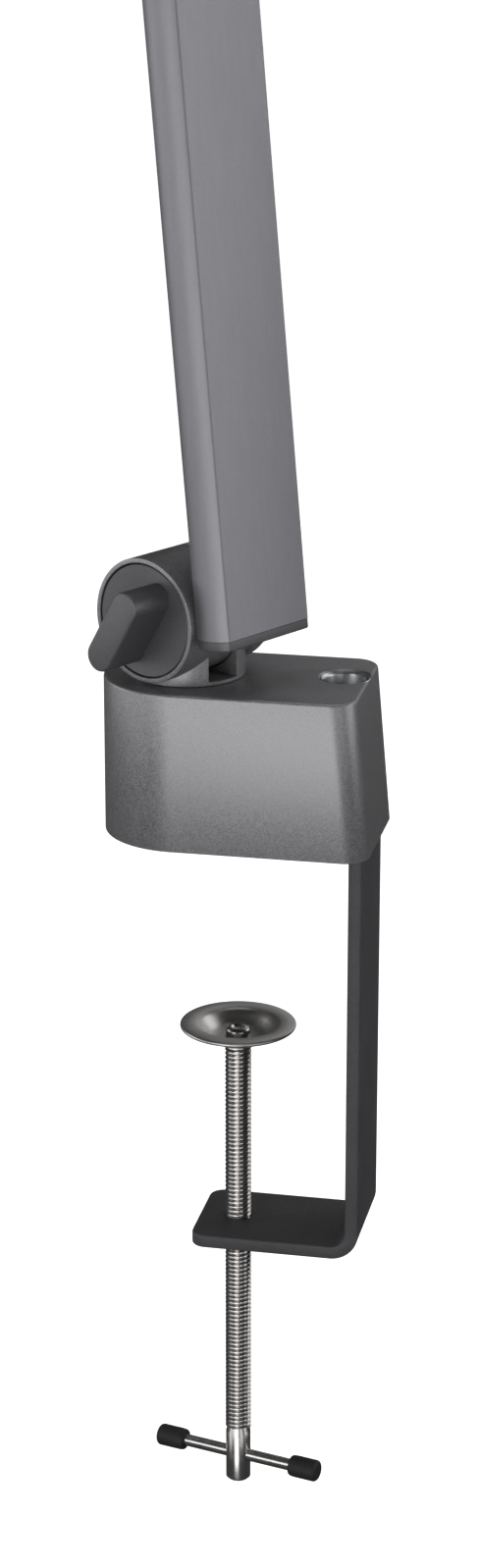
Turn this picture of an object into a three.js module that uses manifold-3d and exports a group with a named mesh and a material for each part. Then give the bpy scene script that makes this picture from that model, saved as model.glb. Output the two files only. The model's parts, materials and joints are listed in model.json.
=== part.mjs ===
// A clamp-mounted monitor arm: C-clamp, base, swivelling turret, tilting arm with knobs, and a head plate.
// Millimetres, +Z up. The origin is on the clamp screw's axis, in the face that rests on the desk top.
// +X runs along the base towards the clamp bracket's upright, +Y towards the back of the base.
import * as THREE from "three";
import { mergeVertices } from "three/addons/utils/BufferGeometryUtils.js";
import Module from "manifold-3d";

const wasm = await Module();
wasm.setup();

const GAP = 0.3; // clearance left between pieces that touch
const BIG = 400; // reach of a cutting block
const OVER = 1; // how far a cutter passes a face, and a joined solid reaches into its neighbour
// sides of a round piece, by its size
const [WIDE, MIDDLE, SMALL, TINY, HEX] = [32, 24, 16, 10, 6];
const PAN = { top: 0.86, socketFloor: 0.35 }; // a pan head's top radius and its socket's floor, as shares

// ---- driving dimensions -------------------------------------------------
const BASE = {
  height: 48.2, radius: 24.6, endTop: 38.3, endBottom: 42.5, corner: 7.5, edge: 0.8,
  foot: 0.6, wall: 2, roof: 3.5,
};
const PAD_THICKNESS = 1.2;
const FLOOR = { bottom: 1.5, thickness: 2 };
const STRAP = {
  width: 34, thickness: 4, inner: 36, jawTop: -124.3, jawEnd: -11.6, bend: 4.5, corner: 4.5,
  armEnd: -26, edge: 2,
};
const STRAP_SCREW = {
  radius: 2.5, length: 14, head: 4.3, headHeight: 1.9, socket: 1.7, pillar: 5, access: 4.8, tapped: 12,
};
const POST = {
  radius: 2.8, thread: 1.25, length: 9, head: 2.2, headHeight: 1, socket: 0.8, padHole: 2.7, tapped: 8,
};
const SCREW = { radius: 3.95, bottom: -215, barZ: -206.5, chamfer: 0.6, shoulder: 0.8 };
const RIVET = { top: -62.6, crown: 0.7, spread: 0.9, tip: -0.8 };
const DISH = {
  radius: 17.5, rim: -60.8, flat: 12.2, floor: 6.6, depth: 4.6, thickness: 1.2, hole: 3.1,
  lead: 1.6, drop: 1, draft: 0.4, lipDrop: 0.5,
};
const BAR = { radius: 1.75, bore: 2.25, half: 26.5, yaw: -14.2 };
const GRIP = { radius: 3.4, bore: 2.05, inner: 18.2, outer: 27.7, bevel: 0.4, lead: 0.8, round: 1.2 };
const SOCKET = { x: 31, y: 4.3, radius: 6.4, wall: 0.9, depth: 26, flare: 1, boss: 3, bossShift: 2 };

const TURRET = {
  x: -15, radius: 16.9, lip: 1, yaw: -29.2, slotFront: -7.8, slotRear: 2.4, padRoom: -5,
  spigot: 7.5, spigotEnd: 17,
};
const SWIVEL = {
  radius: 2.5, length: 12, head: 4.5, headHeight: 2.4, socket: 1.8, tapped: 14, hole: 11,
  washer: 11.5, washerThickness: 1.6,
};
const BOSS = { radius: 12.5, bottom: 20 };
const BUSH = { wall: 1.2, flange: 10.6, flangeThickness: 1, length: 8 };
const AXIS_Z = 67.5; // height of the tilt axis above the desk face

const DRUM = {
  radius: 18.3, chamfer: 0.8, rimChamfer: 0.4, front: -19, frontEnd: 0.8, hubStart: 1.3, hubEnd: 11.4,
  rearStart: 11.9, rear: 20.5, rearChamfer: 1.2, rearTaper: 3.5,
};
const DISC = { radius: 16.5, recess: 16.9, back: -14.7, face: -18.7, edge: 0.5 };
const LEVER = { tip: -33, radius: 4.6, root: [5.2, 7.4], end: [-4.6, -8.4], chamfer: 0.7 };
const KNOB_BOSS = { radius: 9, well: 10, wellEnd: -5, end: -8, insert: 6.5, insertEnd: -8.3, blind: -16 };
const PIVOT = { radius: 3.9, tip: -16, chamfer: 0.6, headAcross: 13, headStart: 14, headEnd: 18 };
const COVER = { radius: 14, thickness: 1.6, edge: 0.7, pocketEnd: 17 };
const FRICTION = { inner: 4.3, outer: 14, thickness: 1.1, recess: 1.2 };
const SPRING = { inner: 4.3, outer: 8.6, start: -7.4, rise: 0.8, thickness: 1.2 };

const LEAN = -6.2; // rest lean of the arm about the tilt axis
const TUBE = {
  near: 18.8, thickness: 12.5, front: -17.4, rear: 16.8, bulge: 2.1, wall: 1.6, start: -4.2, length: 256.65,
};
const CAP = { thickness: 2.9, inset: 0.2, edge: 0.7, plug: 6, plugWall: 1.6, plugRoot: 0.5 };
const HUB_PAD = { low: -2.4, high: 19, screws: [7.5, 15.5] };
const HUB_SCREW = { radius: 2, length: 8, head: 3.4, headHeight: 2, socket: 1.5 };
const HEAD_Z = 250; // distance from the lower tilt axis to the upper one, along the tube

const YOKE = {
  bridgeNear: -19.3, bridgeFar: -26, half: 11, inset: 2, boss: 11, bossEnd: -30, cheek: -8, centre: 1.5,
};
const PLATE = {
  size: 90, corner: 6, thickness: 3, near: -35.2, pitch: 75, hole: 2.2, hub: 11, hubNear: -31.2,
};
const ROLL = {
  radius: 2.9, depth: -21.6, head: 6.5, headHeight: 1.6, socket: 2.6, socketDepth: 1, washer: 10,
};

// ---- materials ------------------------------------------------------------
const finish = (color, roughness, metalness) =>
  new THREE.MeshStandardMaterial({ color, roughness, metalness });
const PAINT = finish(0x84848a, 0.45, 0.6);
const ANODISED = finish(0x77767c, 0.5, 0.6);
const GRAPHITE = finish(0x4a4a4d, 0.5, 0.4);
const BLACK_STEEL = finish(0x2b2b2d, 0.6, 0.3);
const POLISHED = finish(0xb9bbbd, 0.2, 1);
const ZINC = finish(0xa9abad, 0.35, 1);
const BRASS = finish(0xb5a05a, 0.35, 1);
const RUBBER = finish(0x232324, 0.8, 0);
const NYLON = finish(0xd8d6cf, 0.6, 0);

// ---- solids -----------------------------------------------------------------
function solid(geometry) {
  const bare = geometry.index ? geometry.toNonIndexed() : geometry.clone();
  bare.deleteAttribute("normal");
  bare.deleteAttribute("uv");
  const merged = mergeVertices(bare, 1e-4);
  const vertProperties = merged.attributes.position.array;
  const triVerts = new Uint32Array(merged.index.array);
  return new wasm.Manifold(new wasm.Mesh({ numProp: 3, vertProperties, triVerts }));
}

function geometryOf(body) {
  const mesh = body.getMesh();
  const geometry = new THREE.BufferGeometry();
  geometry.setAttribute("position", new THREE.BufferAttribute(mesh.vertProperties, 3));
  geometry.setIndex(new THREE.BufferAttribute(mesh.triVerts, 1));
  return geometry;
}

const join = (first, ...rest) => rest.reduce((sum, body) => sum.add(body), first);
const cut = (first, ...rest) => rest.reduce((left, body) => left.subtract(body), first);

function box([x0, y0, z0], [x1, y1, z1]) {
  const block = new THREE.BoxGeometry(x1 - x0, y1 - y0, z1 - z0);
  return solid(block.translate((x0 + x1) / 2, (y0 + y1) / 2, (z0 + z1) / 2));
}

// A solid of revolution from [radius, height] points. It turns about Z, or about Y or X when asked.
function turned(points, segments = WIDE, axis = "z") {
  const profile = points.map(([r, h]) => new THREE.Vector2(r, h));
  const shape = new THREE.LatheGeometry(profile, segments);
  if (axis === "z") shape.rotateX(Math.PI / 2);
  if (axis === "x") shape.rotateZ(-Math.PI / 2);
  const made = solid(shape);
  return made.volume() < 0 ? turned([...points].reverse(), segments, axis) : made;
}

const rod = (radius, low, high, segments = MIDDLE, axis = "z") =>
  turned([[0, low], [radius, low], [radius, high], [0, high]], segments, axis);

const ring = (inner, outer, low, high, segments = MIDDLE, axis = "z") =>
  turned([[inner, low], [outer, low], [outer, high], [inner, high], [inner, low]], segments, axis);

// A closed outline in the XY plane, raised from one height to another.
function raised(shape, low, high, curveSegments = 8) {
  const body = new THREE.ExtrudeGeometry(shape, { depth: high - low, bevelEnabled: false, curveSegments });
  return solid(body.translate(0, 0, low));
}

// The base's outline: a half circle about the turret axis and a straight end with rounded corners.
function baseOutline(radius, endX, corner) {
  const shape = new THREE.Shape();
  shape.absarc(TURRET.x, 0, radius, Math.PI / 2, (3 * Math.PI) / 2);
  shape.absarc(endX - corner, corner - radius, corner, -Math.PI / 2, 0);
  shape.absarc(endX - corner, radius - corner, corner, 0, Math.PI / 2);
  return shape;
}

function roundedRectangle(width, height, corner) {
  const [x, y] = [width / 2 - corner, height / 2 - corner];
  const shape = new THREE.Shape();
  shape.absarc(x, y, corner, 0, Math.PI / 2);
  shape.absarc(-x, y, corner, Math.PI / 2, Math.PI);
  shape.absarc(-x, -y, corner, Math.PI, (3 * Math.PI) / 2);
  shape.absarc(x, -y, corner, (3 * Math.PI) / 2, 2 * Math.PI);
  return shape;
}

// A block whose +X side slopes like the base's free end, moved inwards by a wall.
function slopedEnd(inward) {
  const slope = (BASE.endBottom - BASE.endTop) / BASE.height;
  const side = new THREE.Shape();
  side.moveTo(-BIG, 0);
  side.lineTo(BASE.endBottom - inward, 0);
  side.lineTo(BASE.endBottom - inward - slope * BASE.height, BASE.height);
  side.lineTo(-BIG, BASE.height);
  return raised(side, -BIG, BIG).rotate([90, 0, 0]);
}

// Solids placed at a list of [x, y] points.
const at = (points, body) => points.map(([x, y]) => body.translate([x, y, 0]));

// A pan-headed screw along Z: the head's underside is at 0 and the shank points down.
function panScrew({ radius, length, head, headHeight, socket }) {
  const profile = [
    [0, -length], [radius, -length], [radius, 0], [head, 0],
    [head * PAN.top, headHeight], [0, headHeight],
  ];
  return cut(turned(profile, TINY), rod(socket, headHeight * PAN.socketFloor, headHeight + OVER, HEX));
}

const root = new THREE.Group();

function group(parent, position, rotation = [0, 0, 0]) {
  const made = new THREE.Group();
  made.position.set(...position);
  made.rotation.set(...rotation.map(THREE.MathUtils.degToRad));
  parent.add(made);
  return made;
}

function piece(name, body, material, parent = root) {
  const mesh = new THREE.Mesh(geometryOf(body), material);
  mesh.name = name;
  parent.add(mesh);
  return mesh;
}

// ---- base -------------------------------------------------------------------
const turretCentre = (body) => body.translate([TURRET.x, 0, 0]);
const INNER_RADIUS = BASE.radius - BASE.wall;
const INNER_CORNER = BASE.corner - BASE.wall;
const FLOOR_TOP = FLOOR.bottom + FLOOR.thickness;
const STRAP_LOW = FLOOR_TOP + GAP; // underside of the strap's upper arm
const STRAP_HIGH = STRAP_LOW + STRAP.thickness;
const STRAP_OUTER = STRAP.inner + STRAP.thickness;
const STRAP_SCREWS = [[10, 9], [10, -9]];
const PLATE_SCREWS = [[-30, 11.5], [-30, -11.5], [22, 20.2], [22, -20.2]];

function baseShell() {
  const { height, radius, endBottom, corner, edge, foot, wall, roof } = BASE;
  const outer = join(
    raised(baseOutline(radius, endBottom, corner), foot, height - edge),
    raised(baseOutline(radius - edge, endBottom, corner - edge), foot, height),
  ).intersect(slopedEnd(0));
  const hollow = raised(baseOutline(INNER_RADIUS, endBottom - wall, INNER_CORNER), foot - OVER, height - roof)
    .intersect(slopedEnd(wall));
  const boss = turretCentre(rod(BOSS.radius, BOSS.bottom, height - OVER, MIDDLE));
  const pillars = at(STRAP_SCREWS, rod(STRAP_SCREW.pillar, STRAP_HIGH + GAP, height - OVER, TINY));
  const posts = at(PLATE_SCREWS, rod(POST.radius, FLOOR_TOP + GAP, height - OVER, TINY));
  const bore = rod(TURRET.spigot + BUSH.wall + 2 * GAP, BOSS.bottom - OVER, height + OVER, MIDDLE);
  const seats = [
    rod(BUSH.flange + GAP, height - BUSH.flangeThickness - GAP, height + OVER, MIDDLE),
    rod(BUSH.flange + GAP, BOSS.bottom - OVER, BOSS.bottom + BUSH.flangeThickness + GAP, MIDDLE),
  ];
  const sleeveRadius = SOCKET.radius + SOCKET.wall;
  const bossFoot = height - SOCKET.depth - SOCKET.boss;
  const socketWall = rod(sleeveRadius + SOCKET.boss, bossFoot, height - OVER, SMALL)
    .translate([SOCKET.x - SOCKET.bossShift, SOCKET.y, 0]).intersect(slopedEnd(wall / 2));
  const socketBore = rod(sleeveRadius + GAP, height - SOCKET.depth, height + OVER, MIDDLE)
    .translate([SOCKET.x, SOCKET.y, 0]);
  const strapPocket = box([STRAP.inner - OVER, -STRAP.width / 2 - GAP, foot - OVER],
    [STRAP_OUTER + GAP, STRAP.width / 2 + GAP, STRAP_HIGH + GAP]);
  const threads = [
    ...at(STRAP_SCREWS, rod(STRAP_SCREW.radius + GAP, 0, STRAP_HIGH + STRAP_SCREW.tapped, TINY)),
    ...at(PLATE_SCREWS, rod(POST.thread + GAP, 0, FLOOR_TOP + POST.tapped, TINY)),
  ];
  const inside = [boss, ...pillars, ...posts, socketWall].map((body) => body.intersect(outer));
  const openings = [bore, ...seats].map(turretCentre);
  return cut(join(cut(outer, hollow), ...inside), ...openings, socketBore, strapPocket, ...threads);
}

function basePlate() {
  const outline = baseOutline(INNER_RADIUS - GAP, BASE.endBottom - BASE.wall - 2 * GAP, INNER_CORNER);
  const sheet = raised(outline, FLOOR.bottom, FLOOR_TOP).intersect(slopedEnd(BASE.wall + GAP));
  const slot = box([STRAP.inner - GAP, -STRAP.width / 2 - GAP, -BIG], [BIG, STRAP.width / 2 + GAP, BIG]);
  const holes = [
    ...at(STRAP_SCREWS, rod(STRAP_SCREW.access, -OVER, BASE.height, TINY)),
    ...at(PLATE_SCREWS, rod(POST.thread + GAP, -OVER, BASE.height, TINY)),
  ];
  return cut(sheet, slot, ...holes);
}

// The pad lies inside the shell's lower edge and stands out below it.
function deskPad() {
  const outline = baseOutline(INNER_RADIUS - GAP, BASE.endBottom - BASE.wall - 2 * GAP, INNER_CORNER);
  const side = STRAP.width / 2 + 2 * GAP;
  const slot = box([STRAP.inner - 2 * GAP, -side, -OVER], [BIG, side, BIG]);
  const holes = at(PLATE_SCREWS, rod(POST.padHole, -OVER, BASE.height, TINY));
  return cut(raised(outline, 0, PAD_THICKNESS), slot, ...holes);
}

// The strap is one flat bar bent twice: an arm inside the base, the upright and the jaw.
function clampBracket() {
  const { inner, thickness, bend, width, jawTop, jawEnd, armEnd, corner } = STRAP;
  const outer = bend + thickness;
  const side = new THREE.Shape();
  side.moveTo(armEnd, STRAP_HIGH);
  side.lineTo(armEnd, STRAP_LOW);
  side.lineTo(inner, STRAP_LOW);
  side.lineTo(inner, jawTop + bend);
  side.absarc(inner - bend, jawTop + bend, bend, 0, -Math.PI / 2, true);
  side.lineTo(jawEnd, jawTop);
  side.lineTo(jawEnd, jawTop - thickness);
  side.lineTo(inner - bend, jawTop - thickness);
  side.absarc(inner - bend, jawTop + bend, outer, -Math.PI / 2, 0);
  side.lineTo(inner + thickness, STRAP_HIGH - STRAP.edge);
  side.absarc(inner + thickness - STRAP.edge, STRAP_HIGH - STRAP.edge, STRAP.edge, 0, Math.PI / 2);
  const bar = raised(side, -width / 2, width / 2, 6).rotate([90, 0, 0]);
  const jawPlan = roundedRectangle(inner + thickness - jawEnd + corner, width, corner);
  const jawMiddle = (inner + thickness + corner + jawEnd) / 2;
  const ends = raised(jawPlan, jawTop - BIG, jawTop + bend, 5).translate([jawMiddle, 0, 0]);
  const upper = box([-BIG, -width / 2, jawTop + bend], [BIG, width / 2, BIG]);
  const holes = at(STRAP_SCREWS, rod(STRAP_SCREW.radius + GAP, 0, BIG, TINY));
  const screwHole = rod(SCREW.radius + GAP, jawTop - BIG, jawTop + bend, MIDDLE);
  const swivelHole = turretCentre(rod(SWIVEL.hole, 0, BASE.height, SMALL));
  return cut(bar.intersect(join(ends, upper)), screwHole, swivelHole, ...holes);
}

// A flanged bush for the turret's spigot; it points down for 1 and up for -1.
function bush(way) {
  const { spigot } = TURRET;
  const { flange, wall } = BUSH;
  const [inner, outer] = [spigot + GAP, spigot + wall];
  const [under, end] = [-BUSH.flangeThickness * way, -BUSH.length * way];
  return turned([
    [inner, 0], [flange, 0], [flange, under], [outer, under], [outer, end], [inner, end], [inner, 0],
  ], MIDDLE);
}

piece("base_shell", baseShell(), PAINT);
piece("base_plate", basePlate(), ZINC);
piece("desk_pad", deskPad(), RUBBER);
piece("clamp_bracket", clampBracket(), BLACK_STEEL);
piece("swivel_bush_upper", turretCentre(bush(1).translate([0, 0, BASE.height])), NYLON);
piece("swivel_bush_lower", turretCentre(bush(-1).translate([0, 0, BOSS.bottom])), NYLON);
piece("accessory_sleeve", turned([
  [SOCKET.radius, -SOCKET.depth + GAP], [SOCKET.radius + SOCKET.wall, -SOCKET.depth + GAP],
  [SOCKET.radius + SOCKET.wall, -GAP], [SOCKET.radius + SOCKET.wall - GAP, 0],
  [SOCKET.radius, -SOCKET.flare], [SOCKET.radius, -SOCKET.depth + GAP],
], MIDDLE).translate([SOCKET.x, SOCKET.y, BASE.height]), ZINC);
const upward = (screw, z) => panScrew(screw).rotate([180, 0, 0]).translate([0, 0, z]);
at(STRAP_SCREWS, upward(STRAP_SCREW, STRAP_LOW - GAP)).forEach((screw, i) => {
  piece(`bracket_screw_${i + 1}`, screw, ZINC);
});
at(PLATE_SCREWS, upward({ ...POST, radius: POST.thread }, FLOOR.bottom - GAP)).forEach((screw, i) => {
  piece(`plate_screw_${i + 1}`, screw, ZINC);
});

// ---- clamp screw --------------------------------------------------------------
function clampScrew() {
  const { radius, bottom, barZ, chamfer, shoulder } = SCREW;
  const neck = DISH.hole - GAP;
  const seat = DISH.rim - DISH.depth - DISH.thickness - GAP;
  const seatTop = seat + DISH.thickness + 2 * GAP;
  const body = turned([
    [0, bottom], [radius - chamfer, bottom], [radius, bottom + chamfer], [radius, seat - shoulder],
    [radius - shoulder, seat], [neck, seat], [neck, seatTop], [0, seatTop],
  ], MIDDLE);
  const rivet = turned([
    [0, seatTop - OVER / 2], [neck, seatTop - OVER / 10], [neck + RIVET.spread, seatTop],
    [neck + RIVET.crown, RIVET.top], [neck + RIVET.tip, RIVET.top + RIVET.crown],
    [0, RIVET.top + RIVET.crown],
  ], MIDDLE);
  const barHole = rod(BAR.bore, -BIG, BIG, SMALL, "x").rotate([0, 0, BAR.yaw]).translate([0, 0, barZ]);
  return cut(join(body, rivet), barHole);
}

// The pressed foot: a flat rim, a bowl and a flat floor that the screw's end is riveted over.
function clampDish() {
  const { radius, rim, flat, floor, depth, thickness, hole, lead, drop, draft, lipDrop } = DISH;
  const under = rim - depth - thickness;
  return turned([
    [hole, under], [floor + draft, under], [flat + draft, rim - thickness - lipDrop],
    [radius, rim - thickness], [radius, rim], [flat, rim], [flat - lead, rim - drop],
    [floor, rim - depth], [hole, rim - depth], [hole, under],
  ]);
}

const barGroup = group(root, [0, 0, SCREW.barZ], [0, 0, BAR.yaw]);

function gripCap(side) {
  const { radius, bore, inner, outer, bevel, lead, round } = GRIP;
  return turned([
    [bore, inner], [radius - bevel, inner], [radius, inner + lead], [radius, outer - round],
    [radius - round, outer], [0, outer], [0, BAR.half + GAP], [bore, BAR.half + GAP], [bore, inner],
  ], SMALL, "x").rotate([0, 0, side > 0 ? 0 : 180]);
}

piece("clamp_screw", clampScrew(), POLISHED);
piece("clamp_dish", clampDish(), POLISHED);
piece("tommy_bar", rod(BAR.radius, -BAR.half, BAR.half, SMALL, "x"), POLISHED, barGroup);
piece("bar_cap_left", gripCap(-1), RUBBER, barGroup);
piece("bar_cap_right", gripCap(1), RUBBER, barGroup);

// ---- tilt joint, used at both ends of the arm ------------------------------------
// Both joints are drawn about their own tilt axis: Y is the axis, with the knob at its negative end.
function drumWall(from, to, chamferFrom, chamferTo, taper = chamferTo) {
  const { radius } = DRUM;
  return turned([
    [0, from], [radius - chamferFrom, from], [radius, from + chamferFrom],
    [radius, to - taper], [radius - chamferTo, to], [0, to],
  ], WIDE, "y");
}

const drums = () => join(
  drumWall(DRUM.front, DRUM.frontEnd, DRUM.rimChamfer, DRUM.chamfer),
  drumWall(DRUM.rearStart, DRUM.rear, DRUM.chamfer, DRUM.rearChamfer, DRUM.rearTaper),
);

// Everything that is hollowed out of the two fixed drums: knob well, spring well, bolt hole and washer seats.
const drumHollows = () => join(
  rod(DISC.recess, DRUM.front - OVER, DISC.back + GAP, WIDE, "y"),
  rod(KNOB_BOSS.well, DISC.back, KNOB_BOSS.wellEnd, SMALL, "y"),
  rod(PIVOT.radius + GAP, KNOB_BOSS.wellEnd - OVER, DRUM.rear, SMALL, "y"),
  rod(FRICTION.outer + GAP, DRUM.frontEnd - FRICTION.recess, DRUM.rearStart + FRICTION.recess, MIDDLE, "y"),
  rod(COVER.radius + GAP, COVER.pocketEnd, DRUM.rear + OVER, MIDDLE, "y"),
  rod(PIVOT.headAcross / Math.sqrt(3) + GAP, PIVOT.headStart - GAP, DRUM.rear, HEX, "y"),
);

function tiltHub(padSide) {
  const { low, high, screws } = HUB_PAD;
  const face = TUBE.near - GAP;
  const [z0, z1] = padSide > 0 ? [low, high] : [-high, -low];
  const drum = drumWall(DRUM.hubStart, DRUM.hubEnd, DRUM.chamfer, DRUM.chamfer);
  const pad = box([0, DRUM.hubStart + DRUM.chamfer, z0], [face, DRUM.hubEnd - DRUM.chamfer, z1]);
  const middle = (DRUM.hubStart + DRUM.hubEnd) / 2;
  const thread = rod(HUB_SCREW.radius + GAP, face - HUB_SCREW.length - GAP, face + OVER, TINY, "x");
  const threads = screws.map((z) => thread.translate([0, middle, z * padSide]));
  return cut(join(drum, pad), rod(PIVOT.radius + GAP, 0, DRUM.hubEnd + OVER, SMALL, "y"), ...threads);
}

function tiltKnob() {
  const lever = new THREE.Shape();
  const [[x0, z0], [x1, z1]] = [LEVER.root, LEVER.end];
  const turn = Math.atan2(z1 - z0, x1 - x0);
  lever.absarc(x1, z1, LEVER.radius, turn - Math.PI / 2, turn + Math.PI / 2);
  lever.absarc(x0, z0, LEVER.radius, turn + Math.PI / 2, turn + (3 * Math.PI) / 2);
  const grip = new THREE.ExtrudeGeometry(lever, {
    depth: DISC.face + OVER - LEVER.tip - LEVER.chamfer, bevelEnabled: true, bevelThickness: LEVER.chamfer,
    bevelSize: LEVER.chamfer, bevelOffset: -LEVER.chamfer, bevelSegments: 1, curveSegments: 6,
  });
  grip.rotateX(Math.PI / 2).translate(0, DISC.face + OVER, 0);
  const { radius, face, back, edge } = DISC;
  const side = [[radius - edge, face], [radius, face + edge], [radius, back]];
  const disc = turned([[0, face], ...side, [0, back]], WIDE, "y");
  const boss = rod(KNOB_BOSS.radius, back - OVER, KNOB_BOSS.end, SMALL, "y");
  const well = rod(KNOB_BOSS.insert + GAP, KNOB_BOSS.blind, KNOB_BOSS.end + OVER, SMALL, "y");
  return cut(join(disc, solid(grip), boss), well);
}

const knobInsert = () =>
  ring(PIVOT.radius + GAP, KNOB_BOSS.insert, KNOB_BOSS.blind + GAP, KNOB_BOSS.insertEnd, SMALL, "y");

function pivotBolt() {
  const { radius, tip, chamfer, headAcross, headStart, headEnd } = PIVOT;
  const shankEnd = headEnd - OVER;
  const shank = [[radius - chamfer, tip], [radius, tip + chamfer], [radius, shankEnd]];
  const head = rod(headAcross / Math.sqrt(3), headStart, headEnd, HEX, "y");
  return join(turned([[0, tip], ...shank, [0, shankEnd]], SMALL, "y"), head);
}

const frictionWasher = (from) =>
  ring(FRICTION.inner, FRICTION.outer, from, from + FRICTION.thickness, SMALL, "y");

function springWasher() {
  const { inner, outer, start, rise, thickness } = SPRING;
  return turned([
    [inner, start], [outer, start + rise], [outer, start + rise + thickness], [inner, start + thickness],
    [inner, start],
  ], SMALL, "y");
}

function rearCover() {
  const { radius, edge, thickness } = COVER;
  const face = DRUM.rear - GAP;
  const back = face - thickness;
  const side = [[radius, back], [radius, face - edge], [radius - edge, face]];
  return turned([[0, back], ...side, [0, face]], MIDDLE, "y");
}

// The pieces that stay with the two drums, and the knob with its nut.
function tiltHardware(prefix, parent) {
  const washerRoom = FRICTION.recess - GAP;
  const rearWasher = frictionWasher(DRUM.rearStart + washerRoom - FRICTION.thickness);
  piece(`${prefix}pivot_bolt`, pivotBolt(), ZINC, parent);
  piece(`${prefix}friction_washer_front`, frictionWasher(DRUM.frontEnd - washerRoom), NYLON, parent);
  piece(`${prefix}friction_washer_rear`, rearWasher, NYLON, parent);
  piece(`${prefix}spring_washer`, springWasher(), ZINC, parent);
  piece(`${prefix}pivot_cover`, rearCover(), GRAPHITE, parent);
  piece(`${prefix}knob`, tiltKnob(), GRAPHITE, parent);
  piece(`${prefix}knob_nut`, knobInsert(), BRASS, parent);
}

// ---- turret ----------------------------------------------------------------------
const turret = group(root, [TURRET.x, 0, AXIS_Z], [0, 0, TURRET.yaw]);
const TOP = BASE.height - AXIS_Z; // the base's top, seen from the tilt axis

function turretYoke() {
  const { radius, lip, slotFront, slotRear, padRoom, spigot, spigotEnd } = TURRET;
  const foot = TOP - BASE.height;
  const lipTop = TOP + GAP + lip;
  const column = rod(radius, TOP + GAP, 0, WIDE);
  const slot = box([-BIG, slotFront, lipTop], [BIG, slotRear, BIG]);
  const hubRoom = rod(DRUM.radius + 2 * GAP, DRUM.frontEnd, DRUM.rearStart, WIDE, "y");
  const hubPadRoom = box([0, DRUM.frontEnd, padRoom], [BIG, DRUM.rearStart, BIG]);
  const stem = rod(spigot, foot + spigotEnd, lipTop, MIDDLE);
  const thread = rod(SWIVEL.radius + GAP, foot, foot + spigotEnd + SWIVEL.tapped, TINY);
  const shaped = join(cut(join(column, stem), slot), drums());
  return cut(shaped, hubRoom, hubPadRoom, drumHollows(), thread);
}

// The spigot's lower end, seen from the tilt axis.
const SPIGOT_FOOT = TOP - BASE.height + TURRET.spigotEnd - GAP;
const WASHER_FOOT = SPIGOT_FOOT - SWIVEL.washerThickness;

piece("turret_yoke", turretYoke(), PAINT, turret);
piece("swivel_washer",
  ring(SWIVEL.radius + GAP, SWIVEL.washer, WASHER_FOOT, SPIGOT_FOOT, SMALL), ZINC, turret);
piece("swivel_screw", upward(SWIVEL, WASHER_FOOT - GAP), ZINC, turret);
tiltHardware("", turret);

// ---- arm ----------------------------------------------------------------------------
const arm = group(turret, [0, 0, 0], [0, LEAN, 0]);
const TUBE_END = TUBE.start + TUBE.length;

// The tube's section: two flat wide faces and two narrow faces that bulge outwards.
function tubeSection(inset) {
  const middle = TUBE.near + TUBE.thickness / 2;
  const half = TUBE.thickness / 2;
  const bulgeRadius = (half * half + TUBE.bulge * TUBE.bulge) / (2 * TUBE.bulge);
  const spread = Math.asin((half - inset) / (bulgeRadius - inset));
  const front = TUBE.front - TUBE.bulge + bulgeRadius;
  const rear = TUBE.rear + TUBE.bulge - bulgeRadius;
  const shape = new THREE.Shape();
  shape.absarc(middle, front, bulgeRadius - inset, -Math.PI / 2 - spread, -Math.PI / 2 + spread);
  shape.absarc(middle, rear, bulgeRadius - inset, Math.PI / 2 - spread, Math.PI / 2 + spread);
  return shape;
}

function armTube() {
  const walls = cut(raised(tubeSection(0), TUBE.start, TUBE_END), raised(tubeSection(TUBE.wall), -BIG, BIG));
  const middle = (DRUM.hubStart + DRUM.hubEnd) / 2;
  const heights = [...HUB_PAD.screws, ...HUB_PAD.screws.map((z) => HEAD_Z - z)];
  const hole = rod(HUB_SCREW.radius + GAP, TUBE.near - OVER, TUBE.near + TUBE.wall + OVER, TINY, "x");
  return cut(walls, ...heights.map((z) => hole.translate([0, middle, z])));
}

function endCap() {
  const lid = raised(tubeSection(CAP.inset), 0, CAP.thickness - CAP.edge, 5);
  const rim = raised(tubeSection(CAP.inset + CAP.edge), 0, CAP.thickness, 5);
  const plug = cut(raised(tubeSection(TUBE.wall + GAP), -CAP.plug, CAP.plugRoot, 5),
    raised(tubeSection(TUBE.wall + GAP + CAP.plugWall), -CAP.plug - OVER, 0, 5));
  return join(lid, rim, plug);
}

const hubScrew = (z) => panScrew(HUB_SCREW).rotate([0, 90, 0])
  .translate([TUBE.near + TUBE.wall + GAP, (DRUM.hubStart + DRUM.hubEnd) / 2, z]);

piece("arm_tube", armTube(), ANODISED, arm);
piece("lower_hub", tiltHub(1), PAINT, arm);
piece("upper_hub", tiltHub(-1).translate([0, 0, HEAD_Z]), PAINT, arm);
piece("lower_end_cap",
  endCap().rotate([180, 0, 0]).scale([1, -1, 1]).translate([0, 0, TUBE.start - GAP]), GRAPHITE, arm);
piece("upper_end_cap", endCap().translate([0, 0, TUBE_END + GAP]), GRAPHITE, arm);
HUB_PAD.screws.forEach((z, i) => {
  piece(`lower_hub_screw_${i + 1}`, hubScrew(z), ZINC, arm);
  piece(`upper_hub_screw_${i + 1}`, hubScrew(HEAD_Z - z), ZINC, arm);
});

// ---- head ---------------------------------------------------------------------------
const head = group(arm, [0, 0, HEAD_Z], [0, -LEAN, 0]);

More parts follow.
